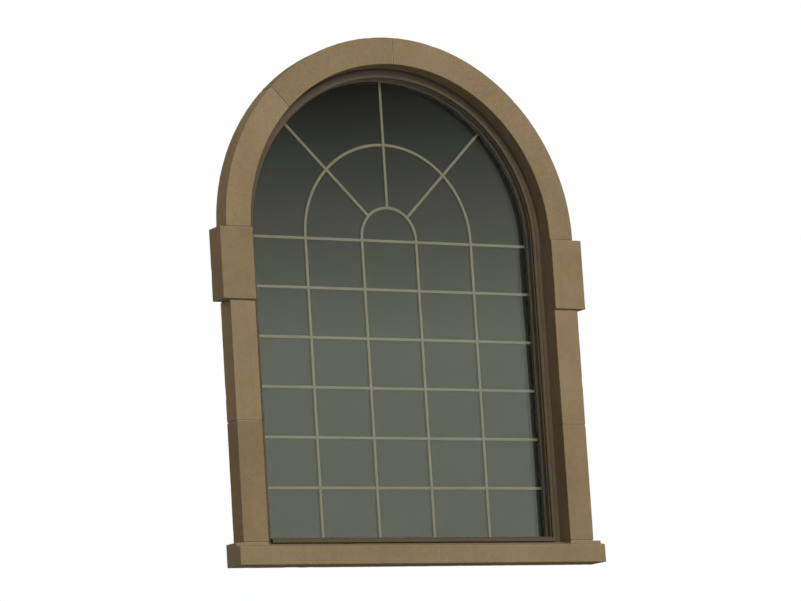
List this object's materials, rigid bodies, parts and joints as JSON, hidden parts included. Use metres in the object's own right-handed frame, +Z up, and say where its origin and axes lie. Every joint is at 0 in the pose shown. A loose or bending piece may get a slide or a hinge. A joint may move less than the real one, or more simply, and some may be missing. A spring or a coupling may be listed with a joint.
{
  "type": "arched window",
  "caption": "Round-headed fixed window with a sunburst grille sealed between its panes, moulded casing, and a cast-stone surround with impost blocks and a sill.",
  "frame": {"origin": "on the bed of the stone sill, at the window's centre line, in the plane of the jamb stones' street face", "axes": "+X across the window to the right as seen from the street, +Y into the wall, +Z up"},
  "size_m": [2.416, 0.267, 3.08],
  "materials": {
    "cast_stone": "matte buff cast stone with fine pits",
    "mortar": "raked mortar, a little greyer than the stone",
    "stainless_steel": "plain stainless dowels",
    "sealant": "brown sealant with a tooled hollow",
    "foam_rod": "grey closed-cell foam",
    "painted_casing": "brown exterior paint, satin",
    "painted_frame": "brown exterior paint, satin",
    "bead_paint": "clay-coloured exterior paint, satin",
    "interior_paint": "off-white interior paint, satin",
    "dowel_wood": "bare hardwood",
    "pane_glass": "clear float glass with a grey-green cast",
    "spacer_metal": "mill finish",
    "edge_seal": "black sealant",
    "glazing_tape": "black foam tape",
    "setting_block": "black rubber",
    "pin_plastic": "off-white",
    "fin_metal": "mill finish",
    "screw_steel": "zinc plated",
    "grille_paint": "clay-coloured baked coating, satin"
  },
  "bodies": {
    "root": {"backer_rod": "foam_rod", "brickmould_head": "painted_casing", "brickmould_left": "painted_casing", "brickmould_right": "painted_casing", "frame_corner_screws": "screw_steel", "frame_head": "painted_frame", "frame_head_dowels": "dowel_wood", "frame_jamb_left": "painted_frame", "frame_jamb_right": "painted_frame", "frame_sill": "painted_frame", "glass_edge_seal": "edge_seal", "glass_spacer": "spacer_metal", "glazing_bead_foot": "bead_paint", "glazing_bead_head": "bead_paint", "glazing_bead_left": "bead_paint", "glazing_bead_right": "bead_paint", "glazing_tape": "glazing_tape", "grille_arc_bar_inner": "grille_paint", "grille_arc_bar_outer": "grille_paint", "grille_end_pins": "pin_plastic", "grille_level_bar_1": "grille_paint", "grille_level_bar_2": "grille_paint", "grille_level_bar_3": "grille_paint", "grille_level_bar_4": "grille_paint", "grille_level_bar_5": "grille_paint", "grille_level_bar_6": "grille_paint", "grille_spoke_bar_1": "grille_paint", "grille_spoke_bar_2": "grille_paint", "grille_spoke_bar_3": "grille_paint", "grille_upright_bar_1": "grille_paint", "grille_upright_bar_2": "grille_paint", "grille_upright_bar_3": "grille_paint", "grille_upright_bar_4": "grille_paint", "impost_block_left": "cast_stone", "impost_block_right": "cast_stone", "inner_pane": "pane_glass", "interior_stop_foot": "interior_paint", "interior_stop_head": "interior_paint", "interior_stop_left": "interior_paint", "interior_stop_right": "interior_paint", "interior_stop_screws": "screw_steel", "jamb_stone_lower_left": "cast_stone", "jamb_stone_lower_right": "cast_stone", "jamb_stone_upper_left": "cast_stone", "jamb_stone_upper_right": "cast_stone", "mortar_joints": "mortar", "nailing_fin_foot": "fin_metal", "nailing_fin_head": "fin_metal", "nailing_fin_left": "fin_metal", "nailing_fin_right": "fin_metal", "outer_pane": "pane_glass", "perimeter_sealant": "sealant", "ring_stone_1": "cast_stone", "ring_stone_2": "cast_stone", "ring_stone_3": "cast_stone", "ring_stone_4": "cast_stone", "setting_blocks": "setting_block", "sill_nosing": "painted_casing", "stone_dowels": "stainless_steel", "stone_sill": "cast_stone"}
  },
  "joints": []
}
